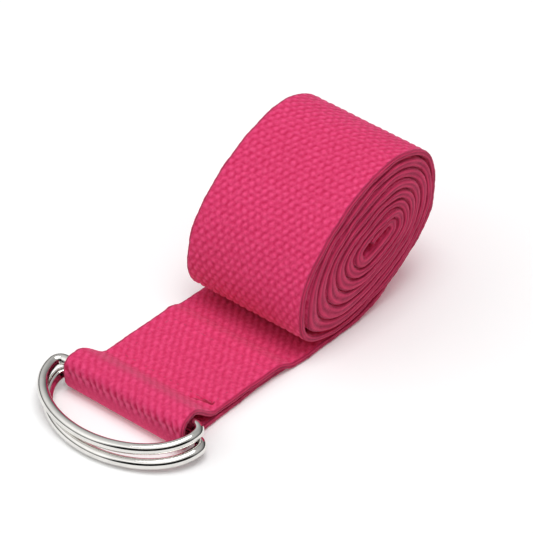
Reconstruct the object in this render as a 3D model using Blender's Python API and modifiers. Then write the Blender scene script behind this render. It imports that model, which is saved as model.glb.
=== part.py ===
"""Stretching strap: cotton webbing wound into an oval roll, with two D-rings held in a sewn loop.

The strap is one long piece of webbing. Its free end is the core of the roll. From the core it
winds outward, runs out flat along the ground as a tail, rises over the bars of two stacked
D-rings, and returns under itself as a short tab that a box of lockstitch holds down.

Axes: +X is the strap's width and the roll's axis, -Y is the way the tail runs, +Z is up.
The origin is on the ground, on the flat stretch of webbing that the roll rests on. Lengths
here are in millimetres and MM turns them into metres.
"""
import math

import bmesh
import bpy
from mathutils import Vector

MM = 0.001

# Webbing: 38 mm (1.5 in) cotton tape, drawn in a little where it is sewn.
STRAP_WIDTH = 38.0
SEWN_WIDTH = 36.8
STRAP_THICKNESS = 1.6
LAYER_GAP = 0.15

# Roll: each turn is a rounded slot, so that neighbouring turns run parallel. The loose
# outermost turn also bulges where it bends: (angle, height, spread) in degrees and millimetres.
ROLL_CENTRE_Y = 15.0
ROLL_TURNS = 7.56
ROLL_RADIUS_OUT = 14.6
ROLL_RADIUS_CORE = 1.25
ROLL_LONG_OUT = 13.0
ROLL_LONG_CORE = 4.2
ROLL_SHORT_OUT = 3.5
ROLL_SHORT_CORE = 0.3
ROLL_TILT_OUT = 29.3
ROLL_TILT_CORE = 18.0
ROLL_CORE_SHIFT_Y = 2.4
ROLL_CORE_SHIFT_Z = 1.2
ROLL_CORE_STANDS_OUT = 2.0
ROLL_STEPS_PER_TURN = 45
GROUND_ANGLE = -90.0
OUTER_TURN_BULGES = ((-50.0, 1.2, 30.0), (35.0, 0.9, 30.0), (150.0, -0.6, 26.0), (216.0, 3.4, 46.0))

# D-rings: bent from round wire and stacked, the lower bar a little ahead of the upper one. Each
# lies shifted sideways and turned a few degrees, as the slack of the loop allows.
WIRE_RADIUS = 1.45
RING_INNER_WIDTH = 42.5
RING_DEPTH = 17.8
RING_CORNER_RADIUS = 2.2
RING_FULLNESS = 1.95
RING_ARC_STEPS = 36
RING_CORNER_STEPS = 5
RING_BAR_STEPS = 6
UPPER_RING_SHIFT_X = -0.3
LOWER_RING_SHIFT_X = 1.6
UPPER_RING_YAW = 2.9
LOWER_RING_YAW = 1.2
BAR_Y = -52.4
LOWER_BAR_FORWARD = 0.6
BAR_CLEARANCE = 0.25
RING_GAP = 0.3
RING_GROUND_GAP = 0.02

# Tail, loop and tab.
FLEX_Y = -10.0
FLEX_GAP = 0.3
TAB_END_Y = -14.2
TAB_SHIFT_X = -1.2
STEP_START_Y = -12.4
STEP_END_Y = -18.0
RISE_START_Y = -40.5
RISE_STEPS = 14
STEP_STEPS = 6
BEND_STEPS = 9
TAB_STEPS = 8

# Box seam: needle thread on top, bobbin thread underneath, each lying in its own groove.
SEAM_HALF_WIDTH = 15.0
SEAM_FRONT_Y = -39.3
SEAM_REAR_Y = -20.5
SEAM_CORNER = 1.2
THREAD_RADIUS = 0.3
GROOVE_RADIUS = 0.56
NEEDLE_THREAD_SINK = 0.25
BOBBIN_THREAD_HEIGHT = 0.33

PINK = (0.72, 0.055, 0.155, 1.0)
PINK_THREAD = (0.66, 0.045, 0.13, 1.0)
CHROME = (0.78, 0.77, 0.75, 1.0)


def clear_scene():
    for obj in list(bpy.data.objects):
        bpy.data.objects.remove(obj, do_unlink=True)


def new_collection(name):
    collection = bpy.data.collections.new(name)
    bpy.context.scene.collection.children.link(collection)
    return collection


def new_material(name, colour, roughness, metallic):
    material = bpy.data.materials.new(name)
    material.use_nodes = True
    shader = material.node_tree.nodes["Principled BSDF"]
    shader.inputs["Base Color"].default_value = colour
    shader.inputs["Roughness"].default_value = roughness
    shader.inputs["Metallic"].default_value = metallic
    material.diffuse_color = colour
    return material


# ---------------------------------------------------------------- centre line of the webbing


def smooth_step(t):
    return t * t * (3.0 - 2.0 * t)


def mix(outer, core, inwards):
    return outer + (core - outer) * inwards


def turn_support(angle, inwards):
    """Distance from the turn's centre to its tangent line whose normal is at this angle."""
    tilt = math.radians(mix(ROLL_TILT_OUT, ROLL_TILT_CORE, inwards))
    long_half = mix(ROLL_LONG_OUT, ROLL_LONG_CORE, inwards)
    short_half = mix(ROLL_SHORT_OUT, ROLL_SHORT_CORE, inwards)
    radius = mix(ROLL_RADIUS_OUT, ROLL_RADIUS_CORE, inwards)
    along = long_half * math.cos(angle - tilt)
    across = short_half * math.sin(angle - tilt)
    return radius + math.hypot(along, across)


def outer_bulge(angle):
    """How far the loose outermost turn stands out at this angle; it fades within that turn."""
    total = 0.0
    for centre, height, spread in OUTER_TURN_BULGES:
        away = (math.degrees(angle) - centre) / spread
        total += height * math.exp(-away * away)
    return total


def roll_centre_height():
    """The outermost turn touches the ground, so its centre line is half a thickness up."""
    ground = math.radians(GROUND_ANGLE)
    return STRAP_THICKNESS / 2.0 + turn_support(ground, 0.0) + outer_bulge(ground)


def roll_support(angle):
    """Support function of the whole spiral, its angle growing from the ground to the core."""
    inwards = (angle - math.radians(GROUND_ANGLE)) / (2.0 * math.pi * ROLL_TURNS)
    centre_y = ROLL_CENTRE_Y + ROLL_CORE_SHIFT_Y * inwards
    centre_z = roll_centre_height() + ROLL_CORE_SHIFT_Z * inwards
    offset = centre_y * math.cos(angle) + centre_z * math.sin(angle)
    return offset + turn_support(angle, inwards) + outer_bulge(angle)


def roll_point(angle):
    """Point of the spiral's centre line whose tangent line is at this angle."""
    delta = 1.0e-4
    support = roll_support(angle)
    slope = (roll_support(angle + delta) - roll_support(angle - delta)) / (2.0 * delta)
    y = support * math.cos(angle) - slope * math.sin(angle)
    z = support * math.sin(angle) + slope * math.cos(angle)
    return y, z


def roll_path():
    """Centre line from the flex line under the roll to the free end, as (x shift, y, z)."""
    ground = math.radians(GROUND_ANGLE)
    first_y, first_z = roll_point(ground)
    path = [(0.0, FLEX_Y + FLEX_GAP / 2.0, first_z)]
    flat = first_y - path[0][1]
    for i in range(1, 4):
        path.append((0.0, path[0][1] + flat * i / 4.0, first_z))
    steps = int(ROLL_TURNS * ROLL_STEPS_PER_TURN)
    for i in range(steps + 1):
        angle = ground + 2.0 * math.pi * i / ROLL_STEPS_PER_TURN
        y, z = roll_point(angle)
        path.append((ROLL_CORE_STANDS_OUT * i / steps, y, z))
    return path


def tail_path():
    """Centre line from the flex line over the bars and back under to the tab's cut end."""
    half = STRAP_THICKNESS / 2.0
    ground_z = half
    upper_z = ground_z + STRAP_THICKNESS + LAYER_GAP
    bend = WIRE_RADIUS + BAR_CLEARANCE + half
    top_z = upper_bar_z() + bend
    slack = bar_swing(UPPER_RING_YAW)
    upper_y = BAR_Y - slack
    lower_y = BAR_Y - LOWER_BAR_FORWARD - bar_swing(LOWER_RING_YAW)
    lean = math.atan2(upper_y - lower_y, upper_bar_z() - lower_bar_z())
    path = [(0.0, FLEX_Y - FLEX_GAP / 2.0, ground_z)]
    for i in range(STEP_STEPS + 1):
        t = i / STEP_STEPS
        y = STEP_START_Y + (STEP_END_Y - STEP_START_Y) * t
        path.append((0.0, y, ground_z + (upper_z - ground_z) * smooth_step(t)))
    for i in range(1, 5):
        path.append((0.0, STEP_END_Y + (RISE_START_Y - STEP_END_Y) * i / 5.0, upper_z))
    for i in range(RISE_STEPS + 1):
        t = i / RISE_STEPS
        y = RISE_START_Y + (BAR_Y + slack - RISE_START_Y) * t
        path.append((0.0, y, upper_z + (top_z - upper_z) * smooth_step(t)))
    for i in range(BEND_STEPS + 1):
        angle = math.pi / 2.0 + (math.pi / 2.0 - lean) * i / BEND_STEPS
        path.append((0.0, upper_y + bend * math.cos(angle), upper_bar_z() + bend * math.sin(angle)))
    for i in range(BEND_STEPS + 1):
        angle = math.pi - lean + (math.pi / 2.0 + lean) * i / BEND_STEPS
        path.append((0.0, lower_y + bend * math.cos(angle), lower_bar_z() + bend * math.sin(angle)))
    for i in range(1, TAB_STEPS + 1):
        t = i / TAB_STEPS
        path.append((TAB_SHIFT_X * t, lower_y + (TAB_END_Y - lower_y) * t, ground_z))
    return path


def lower_bar_z():
    return STRAP_THICKNESS + BAR_CLEARANCE + WIRE_RADIUS


def upper_bar_z():
    spacing = 2.0 * WIRE_RADIUS + RING_GAP
    return lower_bar_z() + math.sqrt(spacing ** 2 - LOWER_BAR_FORWARD ** 2)


def bar_swing(yaw):
    """How far forward and back a bar turned by this angle reaches at the webbing's edges."""
    return SEWN_WIDTH / 2.0 * math.sin(math.radians(yaw))


def half_width(y):
    """Half the webbing's width: full along the roll, drawn in from the tab's end to the loop."""
    t = (FLEX_Y - y) / (FLEX_Y - SEAM_REAR_Y)
    t = smooth_step(min(1.0, max(0.0, t)))
    return mix(STRAP_WIDTH, SEWN_WIDTH, t) / 2.0


# ---------------------------------------------------------------- solids


def make_webbing(name, path, material, collection):
    """A strip of quads along the path, thickened by Solidify."""
    mesh = bpy.data.meshes.new(name)
    build = bmesh.new()
    rows = []
    for shift, y, z in path:
        left = build.verts.new(Vector((shift - half_width(y), y, z)) * MM)
        right = build.verts.new(Vector((shift + half_width(y), y, z)) * MM)
        rows.append((left, right))
    for (left_a, right_a), (left_b, right_b) in zip(rows, rows[1:]):
        build.faces.new((left_a, right_a, right_b, left_b)).smooth = True
    for edge in build.edges:
        edge.smooth = not edge.is_boundary
    build.to_mesh(mesh)
    build.free()
    obj = bpy.data.objects.new(name, mesh)
    collection.objects.link(obj)
    obj.data.materials.append(material)
    solid = obj.modifiers.new("thickness", "SOLIDIFY")
    solid.thickness = STRAP_THICKNESS * MM
    solid.offset = 0.0
    solid.use_even_offset = True
    solid.use_quality_normals = True
    return obj


def ring_outline():
    """Centre line of a D-ring in its own plane: bar along X at the origin, bow towards -Y."""
    half_width = RING_INNER_WIDTH / 2.0 + WIRE_RADIUS
    corner = RING_CORNER_RADIUS
    points = []
    for i in range(RING_BAR_STEPS + 1):
        x = (half_width - corner) * (2.0 * i / RING_BAR_STEPS - 1.0)
        points.append((x, 0.0))
    for i in range(1, RING_CORNER_STEPS + 1):
        angle = math.radians(90.0 - 90.0 * i / RING_CORNER_STEPS)
        x = half_width - corner + corner * math.cos(angle)
        points.append((x, -corner + corner * math.sin(angle)))
    power = 2.0 / RING_FULLNESS
    for i in range(1, RING_ARC_STEPS):
        angle = math.pi * i / RING_ARC_STEPS
        x = math.copysign(half_width * abs(math.cos(angle)) ** power, math.cos(angle))
        y = -corner - (RING_DEPTH - corner) * math.sin(angle) ** power
        points.append((x, y))
    for i in range(RING_CORNER_STEPS):
        angle = math.radians(180.0 - 90.0 * i / RING_CORNER_STEPS)
        x = -half_width + corner + corner * math.cos(angle)
        points.append((x, -corner + corner * math.sin(angle)))
    return points


def ring_tilt():
    """The lower ring's bow rests on the ground while its bar lies on the tab."""
    drop = lower_bar_z() - WIRE_RADIUS - RING_GROUND_GAP
    return math.asin(drop / RING_DEPTH)


def tube_curve(name, points, radius, cyclic, collection):
    """A curve object with a round bevel along points given in metres."""
    curve = bpy.data.curves.new(name, "CURVE")
    curve.dimensions = "3D"
    curve.bevel_depth = radius * MM
    curve.bevel_resolution = 2
    curve.use_fill_caps = True
    spline = curve.splines.new("POLY")
    spline.points.add(len(points) - 1)
    for point, place in zip(spline.points, points):
        point.co = (place[0], place[1], place[2], 1.0)
    spline.use_cyclic_u = cyclic
    obj = bpy.data.objects.new(name, curve)
    collection.objects.link(obj)
    return obj


def make_ring(name, bar, yaw, material, collection):
    """A D-ring with its origin on the axis of its bar, which is its joint axis."""
    points = [(x * MM, y * MM, 0.0) for x, y in ring_outline()]
    obj = tube_curve(name, points, WIRE_RADIUS, True, collection)
    obj.data.bevel_resolution = 3
    obj.data.materials.append(material)
    obj.location = Vector(bar) * MM
    obj.rotation_euler = (ring_tilt(), 0.0, math.radians(yaw))
    return obj


def seam_loop(height):
    """The stitched rectangle with rounded corners, flat at this height."""
    middle_y = (SEAM_FRONT_Y + SEAM_REAR_Y) / 2.0
    half_length = (SEAM_REAR_Y - SEAM_FRONT_Y) / 2.0
    points = []
    for turn in range(4):
        sign_x = (1, -1, -1, 1)[turn]
        sign_y = (1, 1, -1, -1)[turn]
        for i in range(4):
            angle = math.radians(90.0 * turn + 30.0 * i)
            x = sign_x * (SEAM_HALF_WIDTH - SEAM_CORNER) + SEAM_CORNER * math.cos(angle)
            y = sign_y * (half_length - SEAM_CORNER) + SEAM_CORNER * math.sin(angle)
            points.append(Vector((x, middle_y + y, height)) * MM)
    return points


def mesh_from_curve(source, name, collection):
    """The evaluated curve as a welded mesh object in the same place."""
    bpy.context.view_layer.update()
    graph = bpy.context.evaluated_depsgraph_get()
    mesh = bpy.data.meshes.new_from_object(source.evaluated_get(graph))
    build = bmesh.new()
    build.from_mesh(mesh)
    bmesh.ops.remove_doubles(build, verts=build.verts, dist=0.00001)
    build.to_mesh(mesh)
    build.free()
    mesh.name = name
    obj = bpy.data.objects.new(name, mesh)
    obj.matrix_world = source.matrix_world.copy()
    collection.objects.link(obj)
    bpy.data.objects.remove(source, do_unlink=True)
    return obj


def cut_groove(webbing, name, height, cutters):
    tube = tube_curve(name + "_curve", seam_loop(height), GROOVE_RADIUS, True, cutters)
    cutter = mesh_from_curve(tube, name, cutters)
    cutter.hide_render = True
    cutter.display_type = "WIRE"
    cut = webbing.modifiers.new(name, "BOOLEAN")
    cut.operation = "DIFFERENCE"
    cut.solver = "EXACT"
    cut.object = cutter


def main():
    clear_scene()
    parts = new_collection("stretching_strap")
    cutters = new_collection("cutters")
    cotton = new_material("cotton_webbing", PINK, 0.9, 0.0)
    thread = new_material("sewing_thread", PINK_THREAD, 0.8, 0.0)
    chrome = new_material("chromed_wire", CHROME, 0.12, 1.0)

    make_webbing("webbing_roll", roll_path(), cotton, parts)
    tail = make_webbing("webbing_tail", tail_path(), cotton, parts)

    lower_bar = (LOWER_RING_SHIFT_X, BAR_Y - LOWER_BAR_FORWARD, lower_bar_z())
    upper_bar = (UPPER_RING_SHIFT_X, BAR_Y, upper_bar_z())
    make_ring("d_ring_lower", lower_bar, LOWER_RING_YAW, chrome, parts)
    make_ring("d_ring_upper", upper_bar, UPPER_RING_YAW, chrome, parts)

    sewn_top = 2.0 * STRAP_THICKNESS + LAYER_GAP
    needle_height = sewn_top - NEEDLE_THREAD_SINK
    cut_groove(tail, "needle_groove", needle_height, cutters)
    cut_groove(tail, "bobbin_groove", BOBBIN_THREAD_HEIGHT, cutters)
    seams = (("box_seam_needle_thread", needle_height), ("box_seam_bobbin_thread", BOBBIN_THREAD_HEIGHT))
    for name, height in seams:
        seam = tube_curve(name, seam_loop(height), THREAD_RADIUS, True, parts)
        seam.data.materials.append(thread)


main()
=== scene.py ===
"""Looks of the stretching strap: cotton webbing rolled up on its own tail, with two D-rings in its
sewn loop. Lengths in the functions are millimetres; MM turns them into the scene's metres."""
import math

import bpy
import numpy as np
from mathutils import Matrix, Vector


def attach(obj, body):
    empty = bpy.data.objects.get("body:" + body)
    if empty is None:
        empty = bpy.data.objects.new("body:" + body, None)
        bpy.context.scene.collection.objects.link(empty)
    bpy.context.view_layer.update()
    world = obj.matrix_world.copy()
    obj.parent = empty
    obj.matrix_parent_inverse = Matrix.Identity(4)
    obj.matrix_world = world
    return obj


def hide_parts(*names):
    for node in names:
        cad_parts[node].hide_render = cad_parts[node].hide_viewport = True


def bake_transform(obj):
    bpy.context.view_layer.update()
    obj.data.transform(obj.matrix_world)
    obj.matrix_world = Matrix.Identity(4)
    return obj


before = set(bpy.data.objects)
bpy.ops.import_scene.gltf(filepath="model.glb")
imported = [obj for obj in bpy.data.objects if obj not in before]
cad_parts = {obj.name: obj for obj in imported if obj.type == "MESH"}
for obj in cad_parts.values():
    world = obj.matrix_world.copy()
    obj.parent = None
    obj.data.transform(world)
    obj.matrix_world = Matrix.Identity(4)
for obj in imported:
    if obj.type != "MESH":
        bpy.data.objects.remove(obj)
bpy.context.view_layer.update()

MM = 0.001
TAU = 2.0 * math.pi
QUARTER = math.pi / 2.0
scene = bpy.context.scene

# ---------------------------------------------------------------- camera

CAMERA_AZIMUTH = math.radians(41.0)
CAMERA_ELEVATION = math.radians(37.4)
CAMERA_TARGET = Vector((-0.93, -0.66, 15.0)) * MM
CAMERA_DISTANCE = 1.1
CAMERA_LENS = 296.6
camera_back = Vector((
    math.sin(CAMERA_AZIMUTH) * math.cos(CAMERA_ELEVATION),
    -math.cos(CAMERA_AZIMUTH) * math.cos(CAMERA_ELEVATION),
    math.sin(CAMERA_ELEVATION)))
camera = bpy.data.objects.new("camera", bpy.data.cameras.new("camera"))
camera.data.sensor_width = 36.0
camera.data.lens = CAMERA_LENS
camera.data.clip_start = 0.05
camera.data.clip_end = 20.0
camera.location = CAMERA_TARGET + camera_back * CAMERA_DISTANCE
camera.rotation_euler = (-camera_back).to_track_quat("-Z", "Y").to_euler()
scene.collection.objects.link(camera)
scene.camera = camera
scene.view_settings.view_transform = "Standard"

# ---------------------------------------------------------------- sizes shared with the CAD

STRAP_WIDTH = 38.0
SEWN_WIDTH = 36.8
STRAP_THICKNESS = 1.6
LAYER_GAP = 0.15
ROLL_CENTRE_Y = 15.0
ROLL_TURNS = 7.56
ROLL_RADIUS = (14.6, 1.25)
ROLL_LONG = (13.0, 4.2)
ROLL_SHORT = (3.5, 0.3)
ROLL_TILT = (29.3, 18.0)
ROLL_CORE_SHIFT_Y = 2.4
ROLL_CORE_SHIFT_Z = 1.2
ROLL_CORE_STANDS_OUT = 2.0
GROUND_ANGLE = -math.pi / 2.0
OUTER_TURN_BULGES = (  # at this angle, this high, this wide
    (-50.0, 1.2, 30.0), (35.0, 0.9, 30.0), (150.0, -0.6, 26.0), (216.0, 3.4, 46.0))
WIRE_RADIUS = 1.45
RING_INNER_WIDTH = 42.5
RING_DEPTH = 17.8
RING_CORNER_RADIUS = 2.2
RING_FULLNESS = 1.95
RING_SHIFT_X = (-0.3, 1.6)
RING_YAW = (2.9, 1.2)
BAR_Y = -52.4
LOWER_BAR_FORWARD = 0.6
BAR_CLEARANCE = 0.25
RING_GAP = 0.3
RING_GROUND_GAP = 0.02
TAB_END_Y = -14.2
TAB_SHIFT_X = -1.2
STEP_START_Y = -12.4
STEP_END_Y = -18.0
RISE_START_Y = -40.5
SEAM_HALF_WIDTH = 15.0
SEAM_FRONT_Y = -39.3
SEAM_REAR_Y = -20.5
FLEX_Y = -10.0
LOWER_BAR_Z = STRAP_THICKNESS + BAR_CLEARANCE + WIRE_RADIUS
UPPER_BAR_Z = LOWER_BAR_Z + math.sqrt((2.0 * WIRE_RADIUS + RING_GAP) ** 2 - LOWER_BAR_FORWARD ** 2)

# Weave: 33 warp columns; a grain is one warp end passing over one row of weft.
COLUMNS = 33
ROW_LENGTH = 1.62
EDGE_ROUND = 0.75
TAIL_LEAN, ROLL_LEAN = 0.46, -0.27
GRAIN_HALF_WIDTH = 0.80
GRAIN_ARCH = 0.115
GRAIN_UNEVEN = 0.10
GRAIN_ROUNDING = 0.26
GRAIN_SINK = 0.150
ODD_COLUMN_LIFT = 0.030
FLAT_DROP = 0.10
HIGHEST_GRAIN = 0.22
RIDGE_DEPTH = 0.11
EDGE_WANDER = 0.07

# Where the visual tape leaves the plain CAD tape: the share of the outermost turn's bulges that
# the turns under it follow, the half thickness added (at most, and in the core), the gap kept
# between turns, the widening over the bars and the tail's shift.
SETTLED_TURNS = ((1, 0.80), (2, 0.52), (3, 0.26))
MOST_FILL = 1.35
CORE_FILL = 0.80
TURN_GAP = 0.08
WIDER_AT_BARS = 2.6
TAIL_TO_LEFT = 0.45

# Sewing.
STITCH_LENGTH = 2.9
STITCH_RADIUS = 0.17
STITCH_DIVE = 0.30
NEEDLE_SINK = 0.27
BOBBIN_HEIGHT = 0.22


def mesh_object(name, points, faces):
    """A smooth-shaded object from points in millimetres."""
    mesh = bpy.data.meshes.new(name)
    mesh.from_pydata((points * MM).tolist(), [], faces)
    mesh.update()
    mesh.shade_smooth()
    obj = bpy.data.objects.new(name, mesh)
    scene.collection.objects.link(obj)
    return obj


# ---------------------------------------------------------------- centre line of the webbing


def smooth(t):
    t = np.clip(t, 0.0, 1.0)
    return t * t * (3.0 - 2.0 * t)


def mix(a, b, t):
    return a + (b - a) * t


def turn_support(angle, inwards):
    tilt = np.radians(mix(ROLL_TILT[0], ROLL_TILT[1], inwards))
    along = mix(ROLL_LONG[0], ROLL_LONG[1], inwards) * np.cos(angle - tilt)
    across = mix(ROLL_SHORT[0], ROLL_SHORT[1], inwards) * np.sin(angle - tilt)
    return mix(ROLL_RADIUS[0], ROLL_RADIUS[1], inwards) + np.hypot(along, across)


def outer_bulge(angle):
    degrees = np.degrees(angle)
    return sum(h * np.exp(-((degrees - c) / w) ** 2) for c, h, w in OUTER_TURN_BULGES)


def roll_support(angle):
    """Support function of the whole spiral, its angle growing from the ground to the core."""
    rise = STRAP_THICKNESS / 2.0 + turn_support(GROUND_ANGLE, 0.0) + outer_bulge(GROUND_ANGLE)
    inwards = (angle - GROUND_ANGLE) / (TAU * ROLL_TURNS)
    centre_y = ROLL_CENTRE_Y + ROLL_CORE_SHIFT_Y * inwards
    centre_z = rise + ROLL_CORE_SHIFT_Z * inwards
    offset = centre_y * np.cos(angle) + centre_z * np.sin(angle)
    return offset + turn_support(angle, inwards) + outer_bulge(angle)


def roll_points(angle):
    """Points of the spiral whose tangent lines are at these angles, from the ground inwards."""
    h = roll_support(angle)
    slope = (roll_support(angle + 1e-4) - roll_support(angle - 1e-4)) / 2e-4
    return h * np.cos(angle) - slope * np.sin(angle), h * np.sin(angle) + slope * np.cos(angle)


def tape_path():
    """Centre line from the tab's cut end, over the bars, along the tail and into the roll."""
    half = STRAP_THICKNESS / 2.0
    upper = half + STRAP_THICKNESS + LAYER_GAP
    bend = WIRE_RADIUS + BAR_CLEARANCE + half
    swing = [SEWN_WIDTH / 2.0 * math.sin(math.radians(yaw)) for yaw in RING_YAW]
    upper_y = BAR_Y - swing[0]
    lower_y = BAR_Y - LOWER_BAR_FORWARD - swing[1]
    lean = math.atan2(upper_y - lower_y, UPPER_BAR_Z - LOWER_BAR_Z)
    parts = []
    y = np.linspace(TAB_END_Y, lower_y, 400)
    parts.append((y, np.full_like(y, half)))
    a = np.linspace(1.5 * math.pi, math.pi - lean, 120)
    parts.append((lower_y + bend * np.cos(a), LOWER_BAR_Z + bend * np.sin(a)))
    a = np.linspace(math.pi - lean, math.pi / 2.0, 120)
    parts.append((upper_y + bend * np.cos(a), UPPER_BAR_Z + bend * np.sin(a)))
    y = np.linspace(BAR_Y + swing[0], RISE_START_Y, 200)
    t = (y - RISE_START_Y) / (BAR_Y + swing[0] - RISE_START_Y)
    parts.append((y, upper + (UPPER_BAR_Z + bend - upper) * smooth(t)))
    y = np.linspace(RISE_START_Y, STEP_END_Y, 220)
    parts.append((y, np.full_like(y, upper)))
    y = np.linspace(STEP_END_Y, STEP_START_Y, 80)
    parts.append((y, mix(upper, half, smooth((y - STEP_END_Y) / (STEP_START_Y - STEP_END_Y)))))
    roll_start_y = roll_points(np.array([GROUND_ANGLE]))[0]
    y = np.linspace(STEP_START_Y, float(roll_start_y[0]), 300)
    parts.append((y, np.full_like(y, half)))
    turns = np.linspace(GROUND_ANGLE, GROUND_ANGLE + TAU * ROLL_TURNS, 9000)
    parts.append(roll_points(turns))
    y = np.concatenate([p[0] for p in parts])
    z = np.concatenate([p[1] for p in parts])
    angle = np.concatenate([np.full(len(y) - len(turns), GROUND_ANGLE), turns])
    kept = np.concatenate([[True], np.hypot(np.diff(y), np.diff(z)) > 1e-5])
    y, z, angle = y[kept], z[kept], angle[kept]
    s = np.concatenate([[0.0], np.cumsum(np.hypot(np.diff(y), np.diff(z)))])
    return s, y, z, angle, s[np.argmax(angle > GROUND_ANGLE) - 1]


PATH_S, PATH_Y, PATH_Z, PATH_ANGLE, ROLL_START_S = tape_path()
TAPE_LENGTH = PATH_S[-1]


def along_tape(s):
    """(y, z) of the centre line and its unit tangent at these lengths along the tape."""
    step = 0.12
    y, z = np.interp(s, PATH_S, PATH_Y), np.interp(s, PATH_S, PATH_Z)
    before, after = np.clip(s - step, 0, TAPE_LENGTH), np.clip(s + step, 0, TAPE_LENGTH)
    ty = np.interp(after, PATH_S, PATH_Y) - np.interp(before, PATH_S, PATH_Y)
    tz = np.interp(after, PATH_S, PATH_Z) - np.interp(before, PATH_S, PATH_Z)
    size = np.hypot(ty, tz)
    return y, z, ty / size, tz / size


def find_s(y_wanted, low, high):
    """Length along the tape where it crosses a Y between two other lengths."""
    s = np.linspace(low, high, 4000)
    y = np.interp(s, PATH_S, PATH_Y)
    return float(s[np.argmin(abs(y - y_wanted))])


LOOP_S = float(PATH_S[np.argmin(PATH_Y[PATH_S < 60.0])])
OPEN_ROW_S = LOOP_S + 3.5
FLEX_S = find_s(FLEX_Y, LOOP_S, LOOP_S + 70.0)


# ---------------------------------------------------------------- webbing


def waves(value, count, shortest, longest, seed):
    """Smooth noise of about unit size: a sum of sines between two wavelengths."""
    local = np.random.default_rng(seed)
    lengths = np.geomspace(shortest, longest, count)
    total = sum(np.sin(TAU * (value / w + local.random())) for w in lengths)
    return total / math.sqrt(count / 2.0)


def weave_height(u, v, open_up, lean, weft_rows, row_pairs):
    """Relief of the face: warp ends rise over one row and dive under the next, in staggered
    grains that lean with the tape's drawn-in weft. u counts columns, v counts rows."""
    base = np.floor(u)
    best = np.full(np.broadcast(u, v).shape, -9.0)
    for offset in (-1.0, 0.0, 1.0):
        j = base + offset
        phase = (v + j + 1.0) % 2.0 - 1.0
        grain = np.round((v + j) / 2.0)
        chance = np.sin(j * 12.9898 + grain * 78.233) * 43758.5453
        chance = chance - np.floor(chance)
        away = (u - (j + 0.5) + lean * phase) / GRAIN_HALF_WIDTH
        lift = GRAIN_ARCH * open_up * np.cos(math.pi * phase) + GRAIN_UNEVEN * (chance - 0.5)
        lift = lift + ODD_COLUMN_LIFT * (j % 2.0)
        round_off = GRAIN_ROUNDING * (np.sqrt(np.clip(1.0 - away ** 2, 0.0, 1.0)) - 1.0)
        best = np.maximum(best, lift + round_off)
    rows = weft_rows * np.cos(TAU * v) + row_pairs * np.cos(math.pi * v)
    return best + rows - GRAIN_SINK * open_up


def section(n_top, n_bottom, n_edge):
    """One turn round the tape's section as (face, place): face 0 top, 1 right, 2 bottom, 3 left."""
    rows = [(0, -1.0 + 2.0 * i / n_top) for i in range(n_top + 1)]
    rows += [(1, i / n_edge) for i in range(1, n_edge)]
    rows += [(2, 1.0 - 2.0 * i / n_bottom) for i in range(n_bottom + 1)]
    rows += [(3, i / n_edge) for i in range(1, n_edge)]
    return np.array(rows)


N_FINE, N_COARSE, N_EDGE = 4 * COLUMNS, 6, 8
CREASE_DEPTH, CREASE_WIDTH = 0.85, 0.50
PUSHED_UP, PUSHED_WIDTH = 0.24, 0.45
BACK_TACK = ((9.4, -40.7), (11.6, -39.9), (13.4, -39.4), (15.1, -39.1))


def row_plan():
    """Rows along the tape as (s, fine top?, fine bottom?): fine where the tape's face shows."""
    top_a, top_b = LOOP_S - 5.0, FLEX_S + 5.0
    back_a, back_b = ROLL_START_S + 4.0, ROLL_START_S + 132.0
    rows, s = [], 0.0
    while s < TAPE_LENGTH:
        fine_top = top_a <= s <= top_b
        fine_bottom = back_a <= s <= back_b
        rows.append((s, fine_top, fine_bottom))
        s += ROW_LENGTH / 4.0
    rows.append((TAPE_LENGTH, False, False))
    return rows


def half_width(y, s):
    sewn = smooth((FLEX_Y - y) / (FLEX_Y - SEAM_REAR_Y))
    return np.where(s < ROLL_START_S, mix(STRAP_WIDTH, SEWN_WIDTH, sewn), STRAP_WIDTH) / 2.0


def face_is_tail(s):
    return LOOP_S < s < ROLL_START_S


def back_tack_relief(x, y):
    """The crease where the end of the seam's front line is pulled tight, with the tape's grains
    pushed up behind it."""
    away, behind = np.full(x.shape, 9.0), np.full(x.shape, 9.0)
    for (xa, ya), (xb, yb) in zip(BACK_TACK, BACK_TACK[1:]):
        span = np.array([xb - xa, yb - ya])
        t = np.clip(((x - xa) * span[0] + (y - ya) * span[1]) / (span @ span), 0.0, 1.0)
        px, py = xa + t * span[0], ya + t * span[1]
        away = np.minimum(away, np.hypot(x - px, y - py))
        behind = np.minimum(behind, np.hypot(x - px - 0.2, y - py - 0.85))
    raised = PUSHED_UP * np.exp(-(behind / PUSHED_WIDTH) ** 2)
    return raised - CREASE_DEPTH * np.exp(-(away / CREASE_WIDTH) ** 2)


def settle(s_rows):
    """How far the turns under the outermost one sag outwards into the room it leaves."""
    degrees = np.degrees(np.interp(s_rows, PATH_S, PATH_ANGLE))
    total = np.zeros(len(s_rows))
    for turn, share in SETTLED_TURNS:
        for centre, height, spread in OUTER_TURN_BULGES:
            total += share * height * np.exp(-((degrees - centre - 360.0 * turn) / spread) ** 2)
    return np.where(s_rows > ROLL_START_S, total, 0.0)


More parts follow.
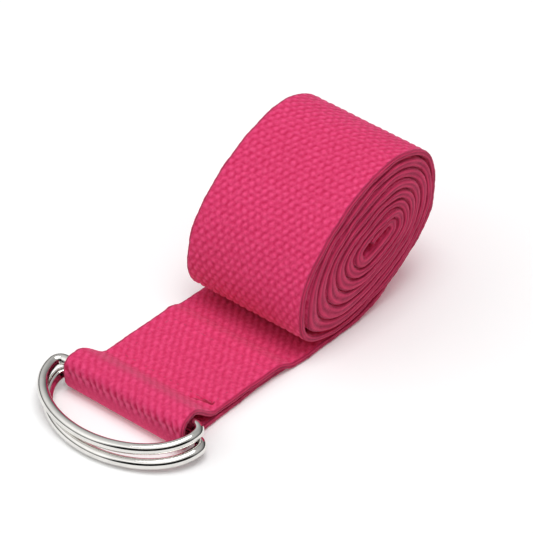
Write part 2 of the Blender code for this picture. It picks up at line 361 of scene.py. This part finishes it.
def roll_fill(s_rows):
    """Extra half thickness towards the next turn outside and inside, which closes the gaps that
    the plain spiral leaves; the CAD tape keeps its own thickness."""
    angle = np.interp(s_rows, PATH_S, PATH_ANGLE)
    here = roll_support(angle) + settle(s_rows)
    back_s, next_s = (np.interp(angle + turn, PATH_ANGLE, PATH_S) for turn in (-TAU, TAU))
    out_gap = roll_support(angle - TAU) + settle(back_s) - here - STRAP_THICKNESS - TURN_GAP
    in_gap = here - roll_support(angle + TAU) - settle(next_s) - STRAP_THICKNESS - TURN_GAP
    turns = (angle + math.pi / 2.0) / TAU
    out = np.clip(out_gap / 2.0, 0.0, MOST_FILL) * smooth((turns - 1.05) / 0.35)
    inside = np.clip(in_gap / 2.0, 0.0, MOST_FILL) * smooth((turns - 0.05) / 0.3)
    inside = np.where(turns < 1.05, np.minimum(inside, 0.2), inside)
    inside = np.where(turns > ROLL_TURNS - 1.0, CORE_FILL, inside)
    inside = inside * smooth((ROLL_TURNS - turns) / 0.12)
    rolled = s_rows > ROLL_START_S
    return np.where(rolled, out, 0.0), np.where(rolled, inside, 0.0)


def build_webbing():
    plan = row_plan()
    s_rows = np.array([r[0] for r in plan])
    y_rows, z_rows, ty, tz = along_tape(s_rows)
    ny, nz = -tz, ty
    width = half_width(y_rows, s_rows)
    roll_share = np.clip((s_rows - ROLL_START_S) / (TAPE_LENGTH - ROLL_START_S), 0.0, 1.0)
    tab = s_rows < LOOP_S
    shift = np.where(tab, TAB_SHIFT_X * (1.0 - s_rows / LOOP_S), 0.0)
    shift = shift + ROLL_CORE_STANDS_OUT * roll_share
    tail_side = smooth((s_rows - LOOP_S + 4.0) / 8.0) * smooth((FLEX_S + 6.0 - s_rows) / 20.0)
    shift = shift - TAIL_TO_LEFT * tail_side
    shift = shift + 0.16 * waves(s_rows, 5, 21.0, 90.0, 3) * smooth((s_rows - ROLL_START_S) / 20.0)
    left = width + EDGE_WANDER * waves(s_rows, 5, 9.0, 44.0, 11)
    right = width + EDGE_WANDER * waves(s_rows, 5, 9.0, 44.0, 12)
    # pulled to the right where it goes over the bars
    at_bars = np.exp(-((s_rows - LOOP_S - 3.5) / 8.0) ** 2)
    right = right + WIDER_AT_BARS * at_bars
    out_fill, in_fill = roll_fill(s_rows)
    sag = settle(s_rows)
    turned = np.interp(s_rows, PATH_S, PATH_ANGLE)
    ahead, behind = (settle(np.interp(turned + d, PATH_ANGLE, PATH_S)) for d in (0.02, -0.02))
    slope = np.where(s_rows > ROLL_START_S + 2.0, (ahead - behind) / 0.04, 0.0)
    y_rows = y_rows + sag * np.cos(turned) - slope * np.sin(turned)
    z_rows = z_rows + sag * np.sin(turned) + slope * np.cos(turned)

    # The weave opens in one row along the fold's front and lies closed under it.
    open_up = 1.0 + 1.2 * np.exp(-((s_rows - OPEN_ROW_S) / 0.8) ** 2)
    open_up = open_up - 0.8 * smooth((LOOP_S + 2.6 - s_rows) / 1.4)
    open_up = open_up - 0.25 * smooth((s_rows - OPEN_ROW_S - 0.8) / 1.0)

    ridge_depth = RIDGE_DEPTH + 0.035 * waves(s_rows, 4, 2.7, 17.0, 21)
    coords, uvs, relief, leans, edges, opens, ridged, starts, sections = ([] for _ in range(9))
    total = 0
    for i, (s, fine_top, fine_bottom) in enumerate(plan):
        n_top, n_bottom = (N_FINE if fine else N_COARSE for fine in (fine_top, fine_bottom))
        ring = section(n_top, n_bottom, N_EDGE)
        face, place = ring[:, 0], ring[:, 1]
        on_face = (face == 0) | (face == 2)
        side = np.where(face == 1, 1.0, np.where(face == 3, -1.0, np.sign(place)))
        low, high = -left[i] + EDGE_ROUND, right[i] - EDGE_ROUND
        across = np.where(on_face, place, side)
        px = low + (high - low) * (across + 1.0) / 2.0
        # angle round the selvedge, +90 at the top face and -90 at the bottom
        angle = np.where(face == 1, QUARTER - math.pi * place, -QUARTER + math.pi * place)
        angle = np.where(face == 0, QUARTER, np.where(face == 2, -QUARTER, angle))
        dir_x = np.where(on_face, 0.0, side * np.clip(np.cos(angle), 0.0, 1.0) ** 0.65)
        dir_n = np.sign(np.sin(angle)) * abs(np.sin(angle)) ** 0.8
        half = STRAP_THICKNESS / 2.0 + np.where(dir_n > 0, in_fill[i], out_fill[i])
        mirror = np.where(face == 2, -1.0, 1.0)
        u = COLUMNS * (1.0 + mirror * across) / 2.0
        v = s / ROW_LENGTH + np.where(face == 2, 1.0, 0.0)
        u_bent = u + 0.16 * np.sin(v * 0.71 + across * 5.0) * np.sin(v * 0.23 + across * 9.0)
        v_bent = v + 0.20 * np.sin(u * 0.83 + v * 0.19) * np.sin(u * 0.31 - v * 0.11 + 2.0)
        fine = ((face == 0) & fine_top) | ((face == 2) & fine_bottom)
        fade = smooth((1.0 - abs(across)) * COLUMNS / 1.4)
        rope = 0.018 * np.cos(TAU * s / ROW_LENGTH + side * 0.7 - 1.2 * angle)
        ridge = np.where(on_face, 0.5, 0.5 - 0.5 * np.cos(TAU * dir_n))
        ridges = ridge_depth[i] * (2.0 * ridge - 1.0) - 0.06
        edge_relief = rope + ridges
        lean = np.where(face == 2, ROLL_LEAN, TAIL_LEAN)
        weft_rows = np.where(face == 2, 0.030, 0.0)
        row_pairs = np.where(face == 2, 0.0, 0.020)
        woven = weave_height(u_bent, v_bent, 1.0, lean, weft_rows, row_pairs)
        amount = np.where(face == 0, open_up[i], 1.0)
        raised = np.minimum((woven + FLAT_DROP) * amount, HIGHEST_GRAIN)
        flat_relief = np.where(fine, raised - FLAT_DROP, -FLAT_DROP)
        if abs(y_rows[i] - BACK_TACK[0][1]) < 4.0 and face_is_tail(s):
            x_here = np.where(face == 0, shift[i] + px, 99.0)
            flat_relief = flat_relief + back_tack_relief(x_here, y_rows[i])
        move = np.where(on_face, mix(edge_relief, flat_relief, fade), edge_relief)
        x = shift[i] + px + dir_x * (EDGE_ROUND + move)
        n = dir_n * (half + move)
        coords.append(np.stack([x, y_rows[i] + ny[i] * n, z_rows[i] + nz[i] * n], 1))
        u_edge = np.where(on_face, 0.0, side * np.where(face == 1, place, 1.0 - place) * 2.4)
        uvs.append(np.stack([u_bent + u_edge, v_bent], 1))
        relief.append(np.where(on_face, np.where(fine, 1.0, 0.0) * fade, 1.0))
        leans.append(np.where(face == 2, -1.0, 1.0))
        edges.append(np.where(on_face, 0.0, 1.0))
        ridged.append(ridge)
        opens.append(np.where(face == 0, open_up[i] - 1.0, 0.0))
        starts.append(total)
        sections.append((fine_top, fine_bottom))
        total += len(ring)

    faces = []

    def band(n_a, n_b, start_a, start_b):
        """Quads between two rows of points, or fans of polygons where their counts differ."""
        if n_a == n_b:
            for k in range(n_a):
                faces.append((start_a + k, start_a + k + 1, start_b + k + 1, start_b + k))
        elif n_a > n_b:
            m = n_a // n_b
            for k in range(n_b):
                many = [start_a + k * m + j for j in range(m + 1)]
                faces.append(tuple(many + [start_b + k + 1, start_b + k]))
        else:
            m = n_b // n_a
            for k in range(n_a):
                many = [start_b + k * m + j for j in range(m, -1, -1)]
                faces.append(tuple([start_a + k, start_a + k + 1] + many))

    for i in range(len(plan) - 1):
        a, b = starts[i], starts[i + 1]
        top_a, top_b = (N_FINE if sections[j][0] else N_COARSE for j in (i, i + 1))
        bottom_a, bottom_b = (N_FINE if sections[j][1] else N_COARSE for j in (i, i + 1))
        band(top_a, top_b, a, b)
        right_a, right_b = a + top_a, b + top_b
        band(N_EDGE, N_EDGE, right_a, right_b)
        band(bottom_a, bottom_b, right_a + N_EDGE, right_b + N_EDGE)
        for k in range(N_EDGE):
            p, q = right_a + N_EDGE + bottom_a + k, right_b + N_EDGE + bottom_b + k
            p2 = p + 1 if k < N_EDGE - 1 else a
            q2 = q + 1 if k < N_EDGE - 1 else b
            faces.append((p, p2, q2, q))
    faces.append(tuple(range(starts[1] - 1, -1, -1)))
    faces.append(tuple(range(starts[-1], total)))

    obj = mesh_object("webbing", np.concatenate(coords), faces)
    mesh = obj.data
    uv_values = np.concatenate(uvs)
    loops = np.zeros(len(mesh.loops), np.int32)
    mesh.loops.foreach_get("vertex_index", loops)
    layer = mesh.uv_layers.new(name="tape")
    layer.data.foreach_set("uv", uv_values[loops].astype(np.float32).ravel())
    for name, values in (("relief", relief), ("lean", leans), ("edge", edges),
                         ("open", opens), ("ridge", ridged)):
        attribute = mesh.attributes.new(name, "FLOAT", "POINT")
        attribute.data.foreach_set("value", np.concatenate(values).astype(np.float32))
    return obj


# ---------------------------------------------------------------- rings


def ring_outline(arc_steps, corner_steps, bar_steps):
    half = RING_INNER_WIDTH / 2.0 + WIRE_RADIUS
    corner = RING_CORNER_RADIUS
    points = [((half - corner) * (2.0 * i / bar_steps - 1.0), 0.0) for i in range(bar_steps + 1)]
    for i in range(1, corner_steps + 1):
        angle = math.radians(90.0 - 90.0 * i / corner_steps)
        points.append((half - corner + corner * math.cos(angle),
                       -corner + corner * math.sin(angle)))
    power = 2.0 / RING_FULLNESS
    for i in range(1, arc_steps):
        angle = math.pi * i / arc_steps
        x = math.copysign(half * abs(math.cos(angle)) ** power, math.cos(angle))
        points.append((x, -corner - (RING_DEPTH - corner) * math.sin(angle) ** power))
    for i in range(corner_steps):
        angle = math.radians(180.0 - 90.0 * i / corner_steps)
        points.append((-half + corner + corner * math.cos(angle),
                       -corner + corner * math.sin(angle)))
    return np.array(points)


def build_ring(name, shift_x, bar_y, bar_z, yaw):
    """Round wire swept along the D, with the butt joint of its two ends in the bar."""
    outline = ring_outline(180, 14, 40)
    ahead, behind = np.roll(outline, -1, 0), np.roll(outline, 1, 0)
    tangent = ahead - behind
    tangent /= np.linalg.norm(tangent, axis=1)[:, None]
    outward = np.stack([tangent[:, 1], -tangent[:, 0]], 1)
    sides = 32
    angle = TAU * np.arange(sides) / sides
    joint = np.exp(-((outline[:, 0] - 2.0) / 0.25) ** 2) * (outline[:, 1] > -0.01)
    radius = WIRE_RADIUS * (1.0 - 0.06 * joint)
    flat = outline[:, None, :] + outward[:, None, :] * (radius[:, None] * np.cos(angle))[:, :, None]
    height = radius[:, None] * np.sin(angle)
    points = np.concatenate([flat, height[:, :, None]], 2).reshape(-1, 3)
    drop = LOWER_BAR_Z - WIRE_RADIUS - RING_GROUND_GAP
    tilt = math.asin(drop / RING_DEPTH)
    turn = math.radians(yaw)
    x, y, z = points[:, 0], points[:, 1], points[:, 2]
    y, z = y * math.cos(tilt) - z * math.sin(tilt), y * math.sin(tilt) + z * math.cos(tilt)
    x, y = x * math.cos(turn) - y * math.sin(turn), x * math.sin(turn) + y * math.cos(turn)
    points = np.stack([x + shift_x, y + bar_y, z + bar_z], 1)
    n = len(outline)
    faces = []
    for i in range(n):
        for k in range(sides):
            j, m = (i + 1) % n, (k + 1) % sides
            faces.append((i * sides + k, i * sides + m, j * sides + m, j * sides + k))
    return mesh_object(name, points, faces)


# ---------------------------------------------------------------- sewing


def thread_tube(points, radius, coords, faces):
    """A round thread through these points, ending in rounded tips."""
    points = np.array(points)
    sides = 8
    ahead = np.vstack([points[1:], points[-1:]])
    behind = np.vstack([points[:1], points[:-1]])
    tangent = ahead - behind
    tangent /= np.linalg.norm(tangent, axis=1)[:, None]
    first = np.cross(tangent, (0.0, 0.0, 1.0))
    first /= np.linalg.norm(first, axis=1)[:, None]
    second = np.cross(tangent, first)
    start = sum(len(c) for c in coords)
    angle = TAU * np.arange(sides) / sides
    thick = np.full(len(points), radius)
    thick[0] = thick[-1] = 0.4 * radius
    ring = (first[:, None, :] * np.cos(angle)[None, :, None]
            + second[:, None, :] * np.sin(angle)[None, :, None])
    coords.append((points[:, None, :] + ring * thick[:, None, None]).reshape(-1, 3))
    for i in range(len(points) - 1):
        for k in range(sides):
            m = (k + 1) % sides
            a, b = start + i * sides, start + (i + 1) * sides
            faces.append((a + k, a + m, b + m, b + k))
    faces.append(tuple(start + k for k in range(sides - 1, -1, -1)))
    faces.append(tuple(start + (len(points) - 1) * sides + k for k in range(sides)))


def build_stitches(name, height, up):
    """Single lockstitches round the box, each diving into the tape at both ends; the upper side
    also has the back-tack lying in its crease."""
    corners = [(SEAM_HALF_WIDTH * sx, SEAM_FRONT_Y if front else SEAM_REAR_Y)
               for sx, front in ((-1, True), (1, True), (1, False), (-1, False))]
    coords, faces = [], []
    for (xa, ya), (xb, yb) in zip(corners, corners[1:] + corners[:1]):
        length = math.hypot(xb - xa, yb - ya)
        count = round(length / STITCH_LENGTH)
        for i in range(count):
            points = []
            for t in np.linspace(0.04, 0.96, 9):
                share = (i + t) / count
                dive = STITCH_DIVE * abs(2.0 * t - 1.0) ** 4
                points.append((xa + (xb - xa) * share, ya + (yb - ya) * share, height - up * dive))
            thread_tube(points, STITCH_RADIUS, coords, faces)
    if up > 0.0:
        dense = [np.interp(np.linspace(0, 3, 13), range(4), [p[i] for p in BACK_TACK])
                 for i in (0, 1)]
        points = [(x, y, height - 0.38 - 0.08 * math.cos(i * 1.6))
                  for i, (x, y) in enumerate(zip(*dense))]
        thread_tube(points, 0.16, coords, faces)
    return mesh_object(name, np.concatenate(coords), faces)


# ---------------------------------------------------------------- materials


class Nodes:
    """A short way to write a material's nodes."""

    def __init__(self, name):
        self.material = bpy.data.materials.new(name)
        self.material.use_nodes = True
        self.tree = self.material.node_tree
        self.shader = self.tree.nodes["Principled BSDF"]

    def new(self, kind, **settings):
        node = self.tree.nodes.new(kind)
        for key, value in settings.items():
            setattr(node, key, value)
        return node

    def link(self, a, b):
        self.tree.links.new(a, b)

    def feed(self, socket, value):
        if isinstance(value, bpy.types.NodeSocket):
            self.link(value, socket)
        else:
            socket.default_value = value

    def math(self, operation, a, b=0.0, clamp=False):
        node = self.new("ShaderNodeMath", operation=operation, use_clamp=clamp)
        for socket, value in zip(node.inputs, (a, b)):
            self.feed(socket, value)
        return node.outputs[0]

    def noise(self, vector, scale, detail=2.0, rough=0.5):
        node = self.new("ShaderNodeTexNoise")
        self.feed(node.inputs["Vector"], vector)
        node.inputs["Scale"].default_value = scale
        node.inputs["Detail"].default_value = detail
        node.inputs["Roughness"].default_value = rough
        return node.outputs["Fac"]

    def colour_mix(self, factor, a, b):
        node = self.new("ShaderNodeMix", data_type="RGBA")
        self.feed(node.inputs[0], factor)
        self.feed(node.inputs[6], a)
        self.feed(node.inputs[7], b)
        return node.outputs[2]

    def place(self):
        return self.new("ShaderNodeTexCoord").outputs["Object"]

    def attribute(self, name):
        return self.new("ShaderNodeAttribute", attribute_name=name).outputs["Fac"]

    def bump(self, height, strength, distance):
        node = self.new("ShaderNodeBump")
        node.inputs["Strength"].default_value = strength
        node.inputs["Distance"].default_value = distance
        self.link(height, node.inputs["Height"])
        self.link(node.outputs[0], self.shader.inputs["Normal"])

    def span(self, value, low, high, to_low=0.0, to_high=1.0):
        node = self.new("ShaderNodeMapRange")
        self.feed(node.inputs[0], value)
        for i, number in enumerate((low, high, to_low, to_high)):
            node.inputs[1 + i].default_value = number
        return node.outputs[0]


def webbing_material():
    n = Nodes("cotton_webbing_pink")
    uv = n.new("ShaderNodeUVMap", uv_map="tape").outputs[0]
    split = n.new("ShaderNodeSeparateXYZ")
    n.link(uv, split.inputs[0])
    u, v = split.outputs[0], split.outputs[1]
    relief = n.attribute("relief")
    place = n.place()

    # staggered grains that lean with the yarn's twist: +1 on a warp end, -1 in the pits
    across = n.math("MULTIPLY", n.math("SUBTRACT", u, 0.5), math.pi)
    along = n.math("MULTIPLY", v, math.pi)
    lean_one = n.math("COSINE", n.math("ADD", across, along))
    lean_two = n.math("COSINE", n.math("SUBTRACT", across, along))
    side = n.attribute("lean")
    twist = n.math("MULTIPLY", n.math("SUBTRACT", lean_one, lean_two),
                   n.span(side, -1.0, 1.0, -0.13, 0.26))
    weave = n.math("ADD", n.math("MULTIPLY", n.math("ADD", lean_one, lean_two), 0.5), twist)
    weft_rows = n.math("MULTIPLY", n.math("COSINE", n.math("MULTIPLY", v, TAU)),
                       n.span(side, -1.0, 1.0, 0.42, 0.0))
    row_pairs = n.math("MULTIPLY", n.math("COSINE", along), n.span(side, -1.0, 1.0, 0.0, 0.30))
    column_pairs = n.math("MULTIPLY", n.math("COSINE", across), 0.32)
    weave = n.math("ADD", n.math("ADD", weave, row_pairs), n.math("ADD", weft_rows, column_pairs))
    grain = n.span(weave, -1.15, 1.15)
    # painted light: in the row where the weave opens, the grains' painted shade and highlight are
    # made stronger
    opened = n.attribute("open")
    contrast = n.math("MULTIPLY", n.math("SUBTRACT", grain, 0.5), opened)
    grain = n.math("ADD", grain, contrast, clamp=True)

    # the turned selvedge has its yarns lying lengthwise; its colour is painted shade, darker than
    # the faces all over and darkest in the crevices between its ridges
    edge = n.attribute("edge")
    edge_space = n.new("ShaderNodeCombineXYZ")
    n.link(n.math("MULTIPLY", u, 2.6), edge_space.inputs[0])
    n.link(n.math("MULTIPLY", v, 0.30), edge_space.inputs[1])
    yarns = n.span(n.noise(edge_space.outputs[0], 1.0, 3.0, 0.6), 0.32, 0.68)
    ridge = n.attribute("ridge")
    turned = n.math("ADD", n.math("MULTIPLY", ridge, 0.6), n.math("MULTIPLY", yarns, 0.4),
                    clamp=True)
    shaded_edge_colour = n.colour_mix(turned, (0.27, 0.005, 0.042, 1.0), (0.80, 0.048, 0.155, 1.0))

    # fine plies lying along each warp end, and loose fibres over them
    lean = n.math("ADD", n.math("MULTIPLY", u, 3.0 * TAU), n.math("MULTIPLY", v, 1.1))
    plies = n.span(n.math("COSINE", lean), -1.0, 1.0)
    fibre_space = n.new("ShaderNodeCombineXYZ")
    n.link(n.math("MULTIPLY", u, 9.0), fibre_space.inputs[0])
    n.link(n.math("MULTIPLY", v, 2.2), fibre_space.inputs[1])
    fibres = n.noise(fibre_space.outputs[0], 1.0, 4.0, 0.65)
    speckle = n.noise(place, 2600.0, 3.0, 0.6)
    tufts = n.noise(place, 1150.0, 2.0, 0.6)
    patches = n.noise(place, 85.0, 2.0, 0.5)

    # painted light: the weave's pits take a darker colour as painted shade, and its crests a
    # lighter, whiter one as painted sheen
    pit_shade = (0.60, 0.008, 0.078, 1.0)
    crest_sheen = (0.88, 0.062, 0.215, 1.0)
    colour = n.colour_mix(grain, pit_shade, crest_sheen)
    colour = n.colour_mix(n.span(fibres, 0.35, 0.75, 0.0, 0.35), colour, (0.92, 0.085, 0.250, 1.0))
    colour = n.colour_mix(n.span(patches, 0.35, 0.65, 0.0, 0.16), colour, (0.62, 0.028, 0.105, 1.0))
    colour = n.colour_mix(n.span(tufts, 0.52, 0.72, 0.0, 0.30), colour, (0.95, 0.130, 0.300, 1.0))
    colour = n.colour_mix(n.span(tufts, 0.48, 0.30, 0.0, 0.35), colour, (0.50, 0.006, 0.060, 1.0))
    # the selvedge takes its painted-shade colour
    colour = n.colour_mix(edge, colour, shaded_edge_colour)
    # a pale pink painted highlight on the opened row's grains
    open_row_highlight = n.math("MULTIPLY", n.math("MULTIPLY", grain, n.math("MAXIMUM", opened, 0.0)), 0.42)
    colour = n.colour_mix(open_row_highlight, colour, (1.0, 0.170, 0.340, 1.0))
    n.link(colour, n.shader.inputs["Base Color"])
    rough = n.math("ADD", n.span(speckle, 0.3, 0.7, 0.80, 0.95), n.math("MULTIPLY", grain, -0.06))
    n.link(rough, n.shader.inputs["Roughness"])
    n.shader.inputs["Specular IOR Level"].default_value = 0.25
    n.shader.inputs["Sheen Weight"].default_value = 0.46
    n.shader.inputs["Sheen Roughness"].default_value = 0.45
    n.shader.inputs["Sheen Tint"].default_value = (1.0, 0.34, 0.52, 1.0)

    # the weave's own height is in the mesh where relief is 1, and in the bump elsewhere
    flat = n.math("SUBTRACT", 1.0, relief)
    coarse = n.math("MULTIPLY", n.math("MULTIPLY", weave, 0.00011), flat)
    fine = n.math("MULTIPLY", plies, 0.000035)
    hair = n.math("MULTIPLY", n.math("ADD", fibres, n.math("ADD", speckle, tufts)), 0.00006)
    height = n.math("ADD", n.math("ADD", coarse, fine), hair)
    n.bump(height, 0.8, 1.0)
    return n.material


def chrome_material(name):
    n = Nodes(name)
    place = n.place()
    haze = n.noise(place, 180.0, 3.0, 0.55)
    specks = n.noise(place, 2200.0, 2.0, 0.6)
    colour = n.colour_mix(n.span(haze, 0.35, 0.7),
                          (0.80, 0.785, 0.755, 1.0), (0.70, 0.685, 0.655, 1.0))
    n.link(colour, n.shader.inputs["Base Color"])
    n.shader.inputs["Metallic"].default_value = 1.0
    rough = n.math("ADD", n.span(haze, 0.3, 0.7, 0.05, 0.09), n.span(specks, 0.45, 0.8, 0.0, 0.03))
    n.link(rough, n.shader.inputs["Roughness"])
    n.bump(n.math("ADD", haze, n.math("MULTIPLY", specks, 0.3)), 0.06, 0.00002)
    return n.material


def thread_material(name):
    n = Nodes(name)
    place = n.place()
    fibres = n.noise(place, 3000.0, 3.0, 0.6)
    # painted shade: the thread is coloured darker than the tape it is sewn into, standing in for
    # the shade of the crease the back-tack lies in
    colour = n.colour_mix(n.span(fibres, 0.3, 0.7),
                          (0.42, 0.008, 0.060, 1.0), (0.62, 0.030, 0.130, 1.0))
    n.link(colour, n.shader.inputs["Base Color"])
    n.link(n.span(fibres, 0.3, 0.7, 0.5, 0.7), n.shader.inputs["Roughness"])
    n.shader.inputs["Sheen Weight"].default_value = 0.2
    n.bump(fibres, 0.4, 0.00005)
    return n.material


def floor_material():
    n = Nodes("white_sweep")
    place = n.place()
    n.link(n.colour_mix(n.noise(place, 30.0), (0.95, 0.95, 0.95, 1.0), (0.97, 0.97, 0.97, 1.0)),
           n.shader.inputs["Base Color"])
    n.shader.inputs["Roughness"].default_value = 0.8
    n.shader.inputs["Specular IOR Level"].default_value = 0.1
    n.shader.inputs["Emission Color"].default_value = (1.0, 1.0, 1.0, 1.0)
    n.shader.inputs["Emission Strength"].default_value = 0.09
    return n.material


# ---------------------------------------------------------------- put it together

webbing = build_webbing()
webbing.data.materials.append(webbing_material())
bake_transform(webbing)
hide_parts("webbing_roll", "webbing_tail")

chrome = chrome_material("chromed_wire_finish")
upper_ring = build_ring("d_ring_upper_wire", RING_SHIFT_X[0], BAR_Y, UPPER_BAR_Z, RING_YAW[0])
lower_ring = build_ring("d_ring_lower_wire", RING_SHIFT_X[1], BAR_Y - LOWER_BAR_FORWARD,
                        LOWER_BAR_Z, RING_YAW[1])
for ring, body, node in ((upper_ring, "upper_ring", "d_ring_upper"),
                         (lower_ring, "lower_ring", "d_ring_lower")):
    ring.data.materials.append(chrome)
    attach(ring, body)
    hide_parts(node)

thread = thread_material("pink_sewing_thread")
for name, node, height, up in (
        ("needle_stitches", "box_seam_needle_thread",
         2.0 * STRAP_THICKNESS + LAYER_GAP - NEEDLE_SINK, 1.0),
        ("bobbin_stitches", "box_seam_bobbin_thread", BOBBIN_HEIGHT, -1.0)):
    stitches = build_stitches(name, height, up)
    stitches.data.materials.append(thread)
    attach(stitches, "tail")
    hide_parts(node)

# ---------------------------------------------------------------- floor and light

FLOOR_REACH = 9.0
FLOOR_Z = -0.0001
LIGHT_AIM = Vector((0.0, 0.0, 0.01))
DARK_ROOM = Vector((0.70, -0.71, 0.04))
BRIGHTER_TOWARDS = (-0.10, -0.85, 0.0)
SKY_STOPS = ((0.0, 0.08), (0.22, 0.16), (0.45, 0.72), (0.75, 0.88), (1.0, 0.66))

floor = bpy.data.objects.new("floor", bpy.data.meshes.new("floor"))
floor.data.from_pydata([(FLOOR_REACH * x, FLOOR_REACH * y, FLOOR_Z)
                        for x, y in ((-1, -1), (1, -1), (1, 1), (-1, 1))], [], [(0, 1, 2, 3)])
floor.data.materials.append(floor_material())
scene.collection.objects.link(floor)


def studio_world():
    """Soft light from above that falls off towards the horizon and is brighter from the front,
    with a dark room low down to the front right that the chrome shows as a thin dark streak."""
    world = bpy.data.worlds.new("studio")
    world.use_nodes = True
    scene.world = world
    tree = world.node_tree
    background = tree.nodes["Background"]
    direction = tree.nodes.new("ShaderNodeTexCoord").outputs["Generated"]
    split = tree.nodes.new("ShaderNodeSeparateXYZ")
    tree.links.new(direction, split.inputs[0])
    ramp = tree.nodes.new("ShaderNodeValToRGB")
    tree.links.new(split.outputs[2], ramp.inputs[0])
    while len(ramp.color_ramp.elements) < len(SKY_STOPS):
        ramp.color_ramp.elements.new(0.5)
    for element, (position, value) in zip(ramp.color_ramp.elements, SKY_STOPS):
        element.position = position
        element.color = (value, value, value, 1.0)
    def feed(socket, value):
        if isinstance(value, bpy.types.NodeSocket):
            tree.links.new(value, socket)
        else:
            socket.default_value = value

    def vector_math(operation, left, right, output):
        node = tree.nodes.new("ShaderNodeVectorMath")
        node.operation = operation
        feed(node.inputs[0], left)
        feed(node.inputs[1], right)
        return node.outputs[output]

    def scalar_math(operation, left, right):
        node = tree.nodes.new("ShaderNodeMath")
        node.operation = operation
        feed(node.inputs[0], left)
        feed(node.inputs[1], right)
        return node.outputs[0]

    def map_range(value, low, high, to_low=0.0, to_high=1.0):
        node = tree.nodes.new("ShaderNodeMapRange")
        feed(node.inputs[0], value)
        for i, number in enumerate((low, high, to_low, to_high)):
            node.inputs[1 + i].default_value = number
        return node.outputs[0]

    facing = vector_math("DOT_PRODUCT", direction, DARK_ROOM.normalized(), "Value")
    outside_room = map_range(facing, 0.42, 0.66, 1.0, 0.02)
    above_room = map_range(split.outputs[2], 0.60, 0.72)
    keep = scalar_math("MAXIMUM", outside_room, above_room)
    sideways = vector_math("DOT_PRODUCT", direction, BRIGHTER_TOWARDS, "Value")
    both = scalar_math("MULTIPLY", keep, scalar_math("ADD", sideways, 1.0))
    shade = vector_math("MULTIPLY", ramp.outputs[0], both, "Vector")
    tree.links.new(shade, background.inputs[0])


def soft_light(name, place, size, power):
    light = bpy.data.lights.new(name, "AREA")
    light.shape = "RECTANGLE"
    light.size, light.size_y = size
    light.energy = power
    obj = bpy.data.objects.new(name, light)
    obj.location = Vector(place)
    obj.rotation_euler = (LIGHT_AIM - obj.location).to_track_quat("-Z", "Y").to_euler()
    scene.collection.objects.link(obj)


studio_world()
soft_light("key", (0.14, -0.02, 1.2), (0.7, 0.7), 6.6)
